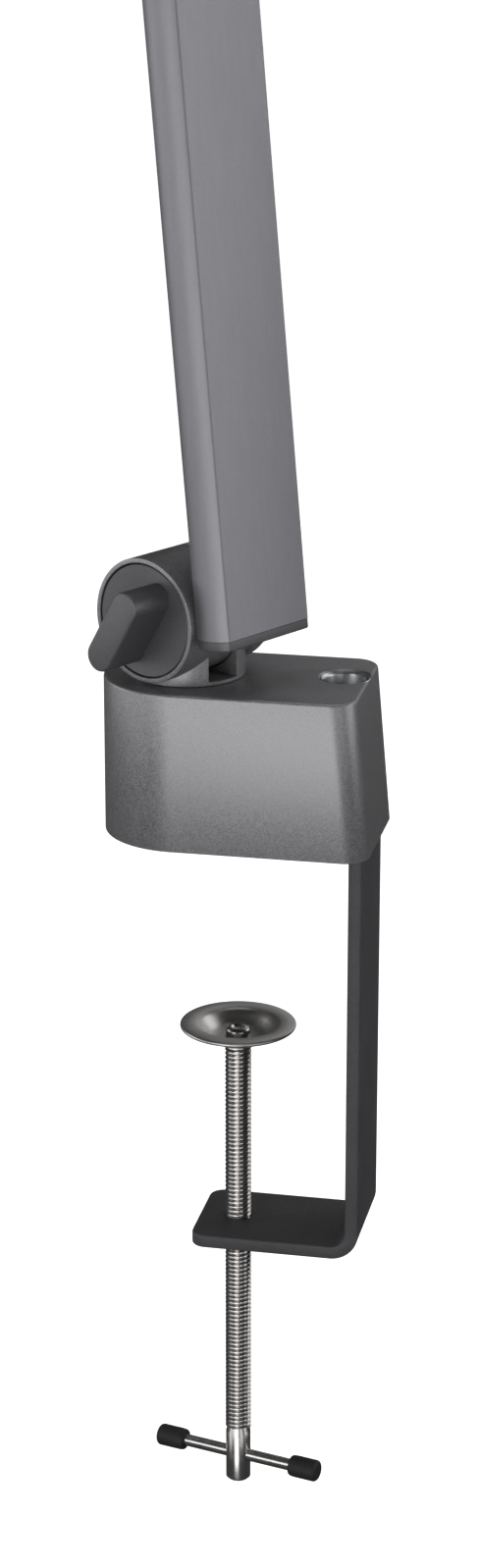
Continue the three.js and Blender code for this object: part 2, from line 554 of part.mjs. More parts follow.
function headYoke() {
  const { bridgeNear, bridgeFar, half, inset, boss, bossEnd, cheek, centre } = YOKE;
  const [y0, y1] = [DRUM.front + inset, DRUM.rear - inset];
  const front = box([bridgeFar, y0, -half], [cheek, DRUM.frontEnd, half]);
  const rear = box([bridgeFar, DRUM.rearStart, -half], [cheek, y1, half]);
  const bridge = box([bridgeFar, y0, -half], [bridgeNear, y1, half]);
  const nose = rod(boss, bossEnd, bridgeNear - OVER, MIDDLE, "x").translate([0, centre, 0]);
  const hubRoom = rod(DRUM.radius + 2 * GAP, DRUM.frontEnd, DRUM.rearStart, WIDE, "y");
  const thread = rod(ROLL.radius + GAP, -BIG, ROLL.depth, TINY, "x").translate([0, centre, 0]);
  return cut(join(drums(), front, rear, bridge, nose), hubRoom, drumHollows(), thread);
}

function mountPlate() {
  const { size, corner, thickness, near, pitch, hole, hub, hubNear } = PLATE;
  const sheet = raised(roundedRectangle(size, size, corner), 0, thickness, 5);
  const upright = sheet.rotate([0, -90, 0]).translate([near, 0, 0]);
  const corners = [[1, 1], [1, -1], [-1, 1], [-1, -1]].map(([y, z]) =>
    rod(hole, -BIG, BIG, SMALL, "x").translate([0, (y * pitch) / 2, (z * pitch) / 2]));
  const collar = rod(hub, near - OVER, hubNear, MIDDLE, "x");
  const headSeat = rod(ROLL.head + GAP, -BIG, near - thickness + ROLL.headHeight + GAP, SMALL, "x");
  return cut(join(upright, collar), ...corners, headSeat, rod(ROLL.radius + GAP, -BIG, BIG, SMALL, "x"))
    .translate([0, YOKE.centre, 0]);
}

const plateFace = PLATE.near - PLATE.thickness;
const rollBolt = () => join(
  rod(ROLL.radius, plateFace + ROLL.headHeight - OVER / 2, ROLL.depth - GAP, TINY, "x"),
  cut(rod(ROLL.head, plateFace + GAP, plateFace + ROLL.headHeight, SMALL, "x"),
    rod(ROLL.socket, plateFace - OVER, plateFace + ROLL.socketDepth, HEX, "x")),
).translate([0, YOKE.centre, 0]);

piece("head_yoke", headYoke(), PAINT, head);
tiltHardware("head_", head);
piece("roll_washer", ring(ROLL.radius + GAP, ROLL.washer, PLATE.hubNear + GAP, YOKE.bossEnd - GAP, SMALL, "x")
  .translate([0, YOKE.centre, 0]), NYLON, head);
piece("mount_plate", mountPlate(), BLACK_STEEL, head);
piece("roll_bolt", rollBolt(), ZINC, head);

export default root;
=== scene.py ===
"""Looks for a desk-clamped monitor arm: fine meshes, finishes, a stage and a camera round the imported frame."""

import json
import math
from contextlib import contextmanager

import bmesh
import bpy
from bpy.props import FloatProperty, FloatVectorProperty, PointerProperty
from bpy.types import Operator, Panel, PropertyGroup
from mathutils import Matrix, Vector


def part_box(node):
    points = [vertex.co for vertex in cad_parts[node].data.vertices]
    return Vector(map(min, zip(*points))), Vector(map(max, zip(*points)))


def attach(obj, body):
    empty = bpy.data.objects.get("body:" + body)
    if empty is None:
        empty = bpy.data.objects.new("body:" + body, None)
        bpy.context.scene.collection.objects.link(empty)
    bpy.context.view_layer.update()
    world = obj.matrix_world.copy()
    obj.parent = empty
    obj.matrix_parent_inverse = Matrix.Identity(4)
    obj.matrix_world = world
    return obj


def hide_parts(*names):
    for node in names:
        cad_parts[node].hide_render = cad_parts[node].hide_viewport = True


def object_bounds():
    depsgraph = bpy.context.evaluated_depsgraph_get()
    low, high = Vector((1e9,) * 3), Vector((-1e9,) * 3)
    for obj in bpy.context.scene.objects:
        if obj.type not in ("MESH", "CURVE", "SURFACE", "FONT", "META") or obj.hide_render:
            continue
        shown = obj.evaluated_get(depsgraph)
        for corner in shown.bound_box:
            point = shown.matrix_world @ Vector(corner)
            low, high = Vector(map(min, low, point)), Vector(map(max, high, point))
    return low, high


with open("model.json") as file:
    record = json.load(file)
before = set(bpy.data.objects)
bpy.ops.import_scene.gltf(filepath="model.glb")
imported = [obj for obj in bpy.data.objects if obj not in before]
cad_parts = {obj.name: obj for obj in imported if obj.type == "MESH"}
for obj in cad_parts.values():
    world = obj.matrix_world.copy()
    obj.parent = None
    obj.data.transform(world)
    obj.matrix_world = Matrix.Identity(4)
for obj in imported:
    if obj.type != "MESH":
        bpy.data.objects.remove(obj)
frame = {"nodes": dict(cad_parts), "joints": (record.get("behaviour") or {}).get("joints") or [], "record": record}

bl_info = {
    "name": "Monitor Arm Looks",
    "version": (1, 0, 0),
    "blender": (4, 5, 0),
    "location": "3D View > Sidebar > Monitor Arm",
    "description": "Builds the visible pieces and finishes of a desk-clamped monitor arm",
    "category": "Object",
}

CAD_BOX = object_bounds()
JOINTS = {joint["name"]: joint for joint in frame["joints"]}
MM = 0.001
SLACK = MM / 10  # Allowance when edges are picked by their place.
SKIN = 0.01 * MM  # Gap that keeps a cut off a face it would only touch.


# ---- properties
def length(name, description, millimetres):
    """A size in metres, written here in millimetres."""
    return FloatProperty(name=name, description=description, default=millimetres * MM,
                         precision=5, unit="LENGTH")


def colour(name, description, rgb):
    return FloatVectorProperty(name=name, description=description, default=rgb, size=3,
                               min=0.0, max=1.0, subtype="COLOR")


def share(name, description, value):
    return FloatProperty(name=name, description=description, default=value, min=0.0, max=1.0,
                         subtype="FACTOR")


def watts(name, description, value):
    return FloatProperty(name=name, description=description, default=value, min=0, unit="POWER")


class ArmBaseSizes(PropertyGroup):
    """Sizes of the housing that stands on the desk."""
    height: length("Height", "Top of the housing above the desk", 48.2)
    radius: length("Radius", "Radius of the housing's round end", 24.6)
    centre: length("Round end", "Place of the round end's centre along the base", -15)
    end_top: length("End at top", "Place of the sloped end at the top", 38.3)
    end_bottom: length("End at bottom", "Place of the sloped end at the bottom", 42.5)
    corner: length("Corner", "Radius of the sloped end's upright corners", 7.5)
    edge: length("Edge", "Width of the rounded top edge", 0.9)
    wall: length("Wall", "Thickness of the housing's walls", 2)
    roof: length("Roof", "Thickness of the housing's top", 3.5)
    foot: length("Foot", "Height of the housing's lower edge above the desk", 0.6)
    pad: length("Pad", "Thickness of the pad below the housing", 1.2)
    socket_x: length("Socket X", "Place of the accessory socket along the base", 31)
    socket_y: length("Socket Y", "Place of the accessory socket across the base", 4.3)
    socket_radius: length("Socket radius", "Inner radius of the accessory socket", 6.4)
    socket_wall: length("Socket wall", "Wall of the accessory socket's sleeve", 0.9)
    socket_depth: length("Socket depth", "Depth of the accessory socket", 26)


class ArmClampSizes(PropertyGroup):
    """Sizes of the bracket, the clamp screw, its foot and its cross bar."""
    width: length("Strap width", "Width of the flat bar", 34)
    thickness: length("Strap thickness", "Thickness of the flat bar", 4)
    inner: length("Upright", "Inner face of the upright along the base", 36)
    jaw_top: length("Jaw", "Upper face of the jaw", -124.3)
    jaw_end: length("Jaw end", "Free end of the jaw along the base", -11.6)
    bend: length("Bend", "Inner radius of the lower bend", 4.5)
    corner: length("Corner", "Radius of the jaw's free corners", 4.5)
    crest: length("Crest radius", "Radius over the thread's crests", 4)
    root: length("Root radius", "Radius at the thread's root", 3.35)
    pitch: length("Pitch", "Advance of the thread in one turn", 1.411)
    thread_end: length("Thread end", "Lowest point of the thread", -198)
    bottom: length("Bottom", "Lower end of the screw", -215)
    dish_radius: length("Foot radius", "Radius of the pressed foot", 17.5)
    dish_rim: length("Foot rim", "Upper face of the pressed foot", -60.8)
    dish_depth: length("Foot depth", "Depth of the pressed foot's bowl", 4.6)
    dish_sheet: length("Foot sheet", "Thickness of the pressed foot", 1.2)
    bar_radius: length("Bar radius", "Radius of the cross bar", 1.9)
    cap_radius: length("Cap radius", "Radius of the rubber caps", 3.4)
    cap_inner: length("Cap inner end", "Inner end of a rubber cap from the screw's axis", 18.2)
    cap_outer: length("Cap outer end", "Outer end of a rubber cap from the screw's axis", 27.7)


class ArmJointSizes(PropertyGroup):
    """Sizes of the two tilt joints and of the turret."""
    drum: length("Drum radius", "Radius of the tilt joint's drums", 18.3)
    front: length("Front end", "Rim of the knob's drum along the tilt axis", -19)
    front_end: length("Front drum end", "Inner end of the knob's drum", 0.8)
    hub_start: length("Hub start", "Knob side of the hub", 1.3)
    hub_end: length("Hub end", "Far side of the hub", 11.4)
    rear_start: length("Rear drum start", "Inner end of the rear drum", 11.9)
    rear: length("Rear end", "Outer end of the rear drum", 20.5)
    taper: length("Taper", "Length of the slight taper at the rear drum's outer end", 3.5)
    chamfer: length("Chamfer", "Chamfer at the seams between the drums and the hub", 0.8)
    recess: length("Recess radius", "Radius of the well that holds the knob", 16.9)
    disc: length("Knob radius", "Radius of the knob's disc", 16.55)
    disc_face: length("Knob face", "Face of the knob's disc along the tilt axis", -18.7)
    disc_back: length("Knob back", "Back of the knob's disc along the tilt axis", -14.7)
    lever_face: length("Lever face", "Outer face of the knob's lever along the tilt axis", -33)
    turret: length("Turret radius", "Radius of the turret's column", 16.9)
    turret_lip: length("Turret lip", "Height of the disc below the turret's slot", 1)
    slot_front: length("Slot front", "Knob side of the turret's slot", -7.8)
    slot_rear: length("Slot rear", "Far side of the turret's slot", 2.4)
    cover: length("Cover radius", "Radius of the cover over the pivot bolt", 14)


class ArmTubeSizes(PropertyGroup):
    """Sizes of the arm's tube and its caps."""
    near: length("Near face", "Distance of the tube from the tilt axis", 18.8)
    thickness: length("Thickness", "Thickness of the tube", 12.5)
    front: length("Front edge", "Edge of the wide faces on the knob's side", -17.4)
    rear: length("Rear edge", "Edge of the wide faces on the far side", 16.8)
    bulge: length("Bulge", "Rise of the tube's narrow faces", 2.1)
    wall: length("Wall", "Wall thickness", 1.6)
    start: length("Start", "Lower end of the tube below the tilt axis", -4.2)
    run: length("Length", "Length of the tube", 256.65)
    cap: length("Cap", "Thickness of an end cap", 2.9)
    edge: length("Edge", "Rounding along the tube's edges", 0.45)


class ArmHeadSizes(PropertyGroup):
    """Sizes of the head yoke and the mounting plate."""
    bridge_near: length("Bridge near", "Face of the yoke's bridge towards the hub", -19.3)
    bridge_far: length("Bridge far", "Outer face of the yoke's bridge", -26)
    half: length("Half height", "Half the height of the yoke's bridge", 11)
    nose: length("Nose radius", "Radius of the boss that the plate turns on", 11)
    nose_end: length("Nose end", "End of the boss", -30)
    plate: length("Plate", "Side of the square plate", 90)
    plate_corner: length("Plate corner", "Radius of the plate's corners", 6)
    plate_near: length("Plate near", "Face of the plate towards the yoke", -35.2)
    plate_sheet: length("Plate sheet", "Thickness of the plate", 3)
    pattern: length("Pattern", "Spacing of the four screw holes", 75)
    hole: length("Hole radius", "Radius of the four screw holes", 2.2)
    middle: length("Middle", "Centre of the plate along the tilt axis", 1.5)


class ArmColours(PropertyGroup):
    """Colours of the finishes."""
    paint: colour("Grey paint", "Metallic paint of the housing and the drums", (0.30, 0.30, 0.31))
    tube: colour("Anodised tube", "Blasted and anodised aluminium of the tube", (0.31, 0.307, 0.33))
    graphite: colour("Graphite", "Dark paint of the knobs and end caps", (0.16, 0.16, 0.167))
    powder: colour("Powder coat", "Black coat of the bracket", (0.06, 0.06, 0.064))
    nickel: colour("Nickel", "Bright plate of the clamp screw and foot", (0.56, 0.545, 0.53))
    zinc: colour("Zinc", "Plate of small fasteners", (0.55, 0.56, 0.57))
    brass: colour("Brass", "Knob nuts", (0.62, 0.46, 0.20))
    rubber: colour("Rubber", "Caps and desk pad", (0.018, 0.018, 0.018))
    nylon: colour("Nylon", "Washers and bushes", (0.72, 0.70, 0.65))
    sparkle: share("Sparkle", "Strength of the flakes in the paint", 0.6)


class ArmStage(PropertyGroup):
    """The floor, the lights and the camera."""
    focal: FloatProperty(name="Focal length", description="Camera lens", default=78.85, unit="CAMERA")
    yaw: FloatProperty(name="Yaw", description="Camera's turn about the upright axis",
                       default=math.radians(11.71), subtype="ANGLE")
    pitch: FloatProperty(name="Pitch", description="Camera's downward tilt",
                         default=math.radians(18.22), subtype="ANGLE")
    distance: length("Distance", "Camera's distance from its target", 1010.38)
    target_x: length("Target X", "Camera target along the base", 0.55)
    target_z: length("Target Z", "Camera target above the desk face", 14.68)
    floor_gap: length("Floor gap", "Gap between the lowest piece and the floor", 25)
    light_distance: length("Light distance", "Distance of the softboxes from the object", 1400)
    front: watts("Front light", "Power of the low front softbox", 5.2)
    front_left: watts("Front left light", "Power of the softbox left of the camera", 3.5)
    low_left: watts("Low left light", "Power of the softbox that the tube's narrow face mirrors", 1.3)
    left: watts("Left light", "Power of the left softbox", 4.0)
    front_right: watts("Front right light", "Power of the softbox right of the camera", 2.0)
    right: watts("Right light", "Power of the right softbox", 4.4)
    back_right: watts("Back right light", "Power of the softbox behind on the right", 2.9)
    back: watts("Back light", "Power of the softbox that level faces mirror", 1.4)
    top: watts("Top light", "Power of the overhead softbox", 3.5)
    surroundings: FloatProperty(name="Surroundings", description="Strength of the even light from all around",
                                default=0.06, min=0)


# ---- modelling by hand, in code
def deselect():
    if bpy.context.object and bpy.context.object.mode != "OBJECT":
        bpy.ops.object.mode_set(mode="OBJECT")
    bpy.ops.object.select_all(action="DESELECT")


def activate(obj):
    deselect()
    obj.select_set(True)
    bpy.context.view_layer.objects.active = obj
    return obj


@contextmanager
def edit(obj, kind="VERT"):
    """Edit mode with nothing selected; it hands over the editable mesh."""
    activate(obj)
    bpy.ops.object.mode_set(mode="EDIT")
    bpy.ops.mesh.select_mode(type=kind)
    bpy.ops.mesh.select_all(action="DESELECT")
    yield bmesh.from_edit_mesh(obj.data)
    bpy.ops.object.mode_set(mode="OBJECT")


def choose(obj, mesh, kind, test):
    """Selects the vertices, edges or faces that pass a test."""
    for part in getattr(mesh, kind):
        if test(part):
            part.select_set(True)
    mesh.select_flush_mode()
    bmesh.update_edit_mesh(obj.data)


def push(offset):
    bpy.ops.mesh.extrude_region_move(TRANSFORM_OT_translate={"value": tuple(offset)})


def drawn(name, points, closed):
    """A line of edges through points, drawn by extruding one vertex from each point to the next."""
    deselect()
    bpy.ops.mesh.primitive_plane_add(size=MM)
    obj = bpy.context.object
    obj.name = obj.data.name = name
    start = Vector(points[0])
    with edit(obj) as mesh:
        bpy.ops.mesh.select_all(action="SELECT")
        bpy.ops.mesh.merge(type="CENTER")
        bpy.ops.transform.translate(value=start)
        for before, after in zip(points, points[1:]):
            push(Vector(after) - Vector(before))
        if closed:
            bpy.ops.mesh.select_all(action="SELECT")
            bpy.ops.mesh.edge_face_add()
    return obj


def tidy_shell(obj):
    with edit(obj):
        bpy.ops.mesh.select_all(action="SELECT")
        bpy.ops.mesh.remove_doubles(threshold=MM * 0.001)
        bpy.ops.mesh.normals_make_consistent(inside=False)
    return obj


def smooth(obj, angle=32):
    activate(obj)
    bpy.ops.object.shade_smooth_by_angle(angle=math.radians(angle))
    return obj


def place(obj, matrix):
    """Moves a finished piece to its place and applies it, so that its object stays at the origin."""
    activate(obj)
    obj.matrix_world = matrix @ obj.matrix_world
    bpy.context.view_layer.update()
    bpy.ops.object.transform_apply(location=True, rotation=True, scale=True)
    return obj


TURN_TO = {
    "x": Matrix.Rotation(math.pi / 2, 4, "Y"),
    "y": Matrix.Rotation(-math.pi / 2, 4, "X"),
    "z": Matrix.Identity(4),
}


def turned(name, profile, steps=96, axis="z"):
    """A solid of revolution: a drawn [radius, height] profile, spun once round and laid along an axis."""
    ends_on_axis = profile[0][0] == 0
    points = [(r, 0, h) for r, h in profile]
    obj = drawn(name, points if ends_on_axis else points + points[:1], closed=False)
    with edit(obj):
        bpy.ops.mesh.select_all(action="SELECT")
        bpy.ops.mesh.spin(steps=steps, angle=math.tau, center=(0, 0, 0), axis=(0, 0, 1))
    tidy_shell(obj)
    return place(obj, TURN_TO[axis])


def raised(name, outline, low, high, matrix=None):
    """A closed outline in the XY plane, filled and extruded from one height to another."""
    obj = drawn(name, [(x, y, low) for x, y in outline], closed=True)
    with edit(obj):
        bpy.ops.mesh.select_all(action="SELECT")
        push((0, 0, high - low))
    tidy_shell(obj)
    return place(obj, matrix) if matrix else obj


def block(name, low, high):
    """A box between two corners, used to cut or join."""
    deselect()
    size = [b - a for a, b in zip(low, high)]
    centre = [(a + b) / 2 for a, b in zip(low, high)]
    bpy.ops.mesh.primitive_cube_add(size=1, location=centre, scale=size)
    obj = bpy.context.object
    obj.name = name
    bpy.ops.object.transform_apply(location=True, rotation=True, scale=True)
    return obj


def rod(name, radius, low, high, axis="z", steps=64):
    return turned(name, [(0, low), (radius, low), (radius, high), (0, high)], steps, axis)


def combine(obj, tool, how):
    activate(obj)
    modifier = obj.modifiers.new("Combine", "BOOLEAN")
    modifier.operation, modifier.object, modifier.solver = how, tool, "EXACT"
    bpy.ops.object.modifier_apply(modifier=modifier.name)
    bpy.data.objects.remove(tool, do_unlink=True)
    return obj


def cut(obj, *tools):
    for tool in tools:
        combine(obj, tool, "DIFFERENCE")
    return obj


def join(obj, *tools):
    for tool in tools:
        combine(obj, tool, "UNION")
    return obj


def round_edges(obj, width, segments=3, test=None, angle=30):
    """Bevels the edges that pass a test, or all edges sharper than an angle."""
    limit = math.radians(angle)

    def sharp(edge):
        wanted = test is None or test(edge)
        return wanted and len(edge.link_faces) == 2 and edge.calc_face_angle(0) > limit

    with edit(obj, "EDGE") as mesh:
        choose(obj, mesh, "edges", sharp)
        bpy.ops.mesh.bevel(offset=width, offset_type="OFFSET", segments=segments, profile=0.5,
                           affect="EDGES", clamp_overlap=True)
    return obj


def middle(edge):
    return (edge.verts[0].co + edge.verts[1].co) / 2


def rise(edge):
    return abs(edge.verts[0].co.z - edge.verts[1].co.z)


def above(axis, limit):
    """A test for edges that lie wholly above a limit along an axis."""
    return lambda edge: all(getattr(vertex.co, axis) > limit for vertex in edge.verts)


def below(axis, limit):
    return lambda edge: all(getattr(vertex.co, axis) < limit for vertex in edge.verts)


def arc(cx, cy, radius, start, end, steps):
    """Points on an arc, angles in degrees."""
    turn = [math.radians(start + (end - start) * i / steps) for i in range(steps + 1)]
    return [(cx + radius * math.cos(a), cy + radius * math.sin(a)) for a in turn]


# ---- frames of the moving groups
def frame_at(joint, up):
    """The frame of a tilt joint: Y along its axis, Z along up."""
    y = Vector(JOINTS[joint]["axis"]).normalized()
    z = up.normalized()
    x = y.cross(z)
    return Matrix.Translation(JOINTS[joint]["pos_m"]) @ Matrix((x, y, z)).transposed().to_4x4()


UP = Vector((0, 0, 1))
ALONG_ARM = Vector(JOINTS["head_tilt"]["pos_m"]) - Vector(JOINTS["arm_tilt"]["pos_m"])
TURRET_FRAME = frame_at("arm_tilt", UP)
ARM_FRAME = frame_at("arm_tilt", ALONG_ARM)
UPPER_FRAME = frame_at("head_tilt", ALONG_ARM)
HEAD_FRAME = frame_at("head_tilt", UP)


# ---- shader maths
class Wire:
    """A socket that takes part in sums: each operator adds a Math node."""

    def __init__(self, maker, socket):
        self.maker, self.socket = maker, socket

    def _maths(self, operation, *values):
        return self.maker.node("ShaderNodeMath", {"operation": operation}, *values)

    def __add__(self, other):
        return self._maths("ADD", self, other)

    def __sub__(self, other):
        return self._maths("SUBTRACT", self, other)

    def __rsub__(self, other):
        return self._maths("SUBTRACT", other, self)

    def __mul__(self, other):
        return self._maths("MULTIPLY", self, other)

    __radd__ = __add__
    __rmul__ = __mul__


class Finish:
    """A material being made, with one Principled surface."""

    def __init__(self, name, **constants):
        self.material = bpy.data.materials.new(name)
        self.material.use_nodes = True
        self.tree = self.material.node_tree
        self.surface = self.tree.nodes["Principled BSDF"]
        for socket, value in constants.items():
            value = (*value, 1) if isinstance(value, tuple) else value
            self.surface.inputs[socket.replace("_", " ")].default_value = value
        self.place = self.node("ShaderNodeTexCoord", {}, output="Object")

    def node(self, kind, settings, *values, output=0, **named):
        """Adds a node: its settings first, then its sockets' values or links, by order, name or number."""
        made = self.tree.nodes.new(kind)
        for key, value in settings.items():
            setattr(made, key, value)
        by_name = ((int(key) if key.isdigit() else key, value) for key, value in named.items())
        for key, value in [*enumerate(values), *by_name]:
            if isinstance(value, Wire):
                self.tree.links.new(value.socket, made.inputs[key])
            else:
                made.inputs[key].default_value = value
        return Wire(self, made.outputs[output])

    def feed(self, **sockets):
        for socket, wire in sockets.items():
            self.tree.links.new(wire.socket, self.surface.inputs[socket.replace("_", " ")])
        return self

    def scaled(self, x, y, z):
        return self.node("ShaderNodeMapping", {}, Vector=self.place, Scale=(x, y, z))

    def noise(self, scale, detail, roughness, where=None):
        return self.node("ShaderNodeTexNoise", {}, Vector=where or self.place, Scale=scale, Detail=detail,
                         Roughness=roughness)

    def cells(self, scale):
        """A colour of its own for each cell of a pattern."""
        return self.node("ShaderNodeTexVoronoi", {"feature": "F1"}, Vector=self.place, Scale=scale,
                         output="Color")

    def tint(self, factor, rgb, dark, light):
        """A colour that goes from darker to lighter with a factor; 6 and 7 are the mix's colour sockets."""
        first, second = ((*(min(1.0, channel * by) for channel in rgb), 1) for by in (dark, light))
        return self.node("ShaderNodeMix", {"data_type": "RGBA"}, factor, output=2, **{"6": first, "7": second})

    def coated(self, tint, roughness, relief, strength, depth):
        """The finished material, with a fine relief."""
        normal = self.node("ShaderNodeBump", {}, Height=relief, Strength=strength, Distance=depth)
        return self.feed(Base_Color=tint, Roughness=roughness, Normal=normal).material


def grey_paint(colours):
    finish = Finish("grey_paint", Metallic=0.7, Roughness=0.42, Specular_Tint=(0.45, 0.45, 0.45))
    flakes = finish.node("ShaderNodeSeparateColor", {}, finish.cells(3800))
    cloud = finish.noise(2600, 2, 0.6)
    grain = flakes * 0.6 + cloud * 0.4
    tint = finish.tint(grain, colours.paint, 1 - 0.6 * colours.sparkle, 1 + 0.8 * colours.sparkle)
    relief = finish.noise(2200, 2, 0.5)
    return finish.coated(tint, 0.34 + flakes * 0.16, relief, 0.2, 0.0001)


def anodised_tube(colours):
    finish = Finish("anodised_tube", Metallic=0.9, Roughness=0.5, Specular_Tint=(0.5, 0.5, 0.5))
    grain = finish.noise(1100, 4, 0.65)
    streak = finish.noise(400, 2, 0.5, where=finish.scaled(1, 1, 0.12))
    blend = grain * 0.7 + streak * 0.3
    tint = finish.tint(blend, colours.tube, 0.82, 1.2)
    return finish.coated(tint, 0.44 + grain * 0.14, grain, 0.3, 0.0002)


def graphite_paint(colours):
    finish = Finish("graphite", Metallic=0.6, Roughness=0.45, Specular_Tint=(0.5, 0.5, 0.5))
    grain = finish.noise(1500, 3, 0.6)
    tint = finish.tint(grain, colours.graphite, 0.8, 1.25)
    return finish.coated(tint, 0.4 + grain * 0.12, grain, 0.14, 0.0002)


def powder_coat(colours):
    finish = Finish("black_steel", Metallic=0.0, Roughness=0.5, Specular_IOR_Level=0.4)
    peel = finish.noise(900, 2, 0.5)
    cloud = finish.noise(60, 3, 0.5)
    tint = finish.tint(cloud, colours.powder, 0.8, 1.35)
    return finish.coated(tint, 0.44 + peel * 0.14, peel, 0.35, 0.0003)


def bright_plate(colours):
    finish = Finish("bright_steel", Metallic=1.0, Roughness=0.2)
    cloud = finish.noise(260, 4, 0.6)
    tint = finish.tint(cloud, colours.nickel, 0.85, 1.12)
    return finish.coated(tint, 0.16 + cloud * 0.16, cloud, 0.05, 0.0002)


def pressed_sheet(colours):
    """The same plate on pressed sheet, with a softer shine, a stronger mottle of tone and a fine speckled relief.
    """
    finish = Finish("pressed_sheet", Metallic=1.0, Roughness=0.34)
    cloud = finish.noise(240, 4, 0.6)
    speck = finish.noise(1500, 3, 0.6)
    tint = finish.tint(cloud, colours.nickel, 0.9, 1.3)
    return finish.coated(tint, 0.3 + cloud * 0.12, speck, 0.08, 0.0001)


def plain_metal(name, rgb, roughness):
    finish = Finish(name, Metallic=1.0, Roughness=roughness)
    cloud = finish.noise(500, 3, 0.6)
    tint = finish.tint(cloud, rgb, 0.85, 1.1)
    return finish.feed(Base_Color=tint, Roughness=roughness - 0.06 + cloud * 0.12).material


def soft_plastic(name, rgb, roughness):
    finish = Finish(name, Metallic=0.0, Roughness=roughness, Specular_IOR_Level=0.4)
    cloud = finish.noise(700, 3, 0.6)
    tint = finish.tint(cloud, rgb, 0.85, 1.2)
    return finish.coated(tint, roughness - 0.08 + cloud * 0.16, cloud, 0.2, 0.0002)


MATERIALS = {}


def finishes(colours):
    """The finish of each material slot in the record."""
    if not MATERIALS:
        MATERIALS.update(
            grey_paint=grey_paint(colours),
            anodised_tube=anodised_tube(colours),
            graphite=graphite_paint(colours),
            black_steel=powder_coat(colours),
            bright_steel=bright_plate(colours),
            pressed_sheet=pressed_sheet(colours),
            zinc_steel=plain_metal("zinc_steel", colours.zinc, 0.34),
            brass=plain_metal("brass", colours.brass, 0.3),
            rubber=soft_plastic("rubber", colours.rubber, 0.62),
            nylon=soft_plastic("nylon", colours.nylon, 0.5),
        )
    return MATERIALS


def finish_piece(obj, body, slot, *nodes, look=None):
    """Gives a piece its finish and its body, and hides the CAD nodes it stands for."""
    obj.data.materials.clear()
    obj.data.materials.append(finishes(bpy.context.scene.arm_colours)[look or slot])
    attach(obj, body)
    if nodes:
        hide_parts(*nodes)
    return obj


# ---- base
def housing_outline(base, inset):
    """A half circle about the turret's axis and a straight end with rounded corners."""
    radius = base.radius - inset
    corner = max(base.corner - inset, MM)
    end = base.end_bottom - inset
    outline = arc(base.centre, 0, radius, 90, 270, 96)
    outline += arc(end - corner, corner - radius, corner, -90, 0, 12)
    outline += arc(end - corner, radius - corner, corner, 0, 90, 12)
    return outline


def lean_end(obj, base, inset):
    """Shears the square end so that it slopes inwards towards the top."""
    slope = (base.end_bottom - base.end_top) / base.height
    reach = base.end_bottom - base.corner - inset - SLACK
    for vertex in obj.data.vertices:
        if vertex.co.x > reach:
            vertex.co.x -= slope * vertex.co.z
    return obj


class ARM_OT_base(Operator):
    """Builds the housing, its desk pad and the accessory socket"""
    bl_idname = "monitor_arm.base"
    bl_label = "Base housing"

    def execute(self, context):
        base, joint = context.scene.arm_base, context.scene.arm_joint
        shell = lean_end(raised("base_housing", housing_outline(base, 0), base.foot, base.height), base, 0)
        round_edges(shell, base.edge, 4, above("z", base.height - SLACK))
        round_edges(shell, base.edge / 3, 2, below("z", base.foot + SLACK))
        inside = raised("hollow", housing_outline(base, base.wall), -MM, base.height - base.roof)
        hollow = lean_end(inside, base, base.wall)
        turret_hole = rod("turret_hole", joint.turret - 5 * MM, base.foot, base.height + MM)
        place(turret_hole, Matrix.Translation((base.centre, 0, 0)))
        low, top = base.height - base.socket_depth, base.height + MM
        bore, wide = base.socket_radius, base.socket_radius + base.socket_wall
        lip = wide + MM * 0.9
        socket = turned("socket", [(0, low), (wide, low), (wide, base.height - MM * 0.7),
                                   (lip, base.height + MM * 0.2), (lip, top), (0, top)])
        place(socket, Matrix.Translation((base.socket_x, base.socket_y, 0)))
        cut(shell, hollow, turret_hole, socket)
        finish_piece(smooth(shell), "base", "grey_paint", "base_shell")

        rim = MM * 0.25
        sleeve = turned("socket_sleeve", [
            (bore, -base.socket_depth), (wide, -base.socket_depth), (wide, -MM * 0.5), (wide - rim, -MM * 0.3),
            (bore + rim, -MM * 0.8), (bore, -MM * 1.4),
        ])
        place(sleeve, Matrix.Translation((base.socket_x, base.socket_y, base.height)))
        finish_piece(smooth(sleeve), "base", "zinc_steel", "accessory_sleeve")

        pad = raised("desk_pad_soft", housing_outline(base, base.wall + 0.3 * MM), 0, base.pad)
        round_edges(pad, MM * 0.3, 2, below("z", SLACK))
        # The slot clears the bracket's upright.
        slot = block("slot", (0.0354, -0.0176, -MM), (0.06, 0.0176, 2 * MM))
        cut(pad, slot)
        finish_piece(smooth(pad), "base", "rubber", "desk_pad")
        return {"FINISHED"}


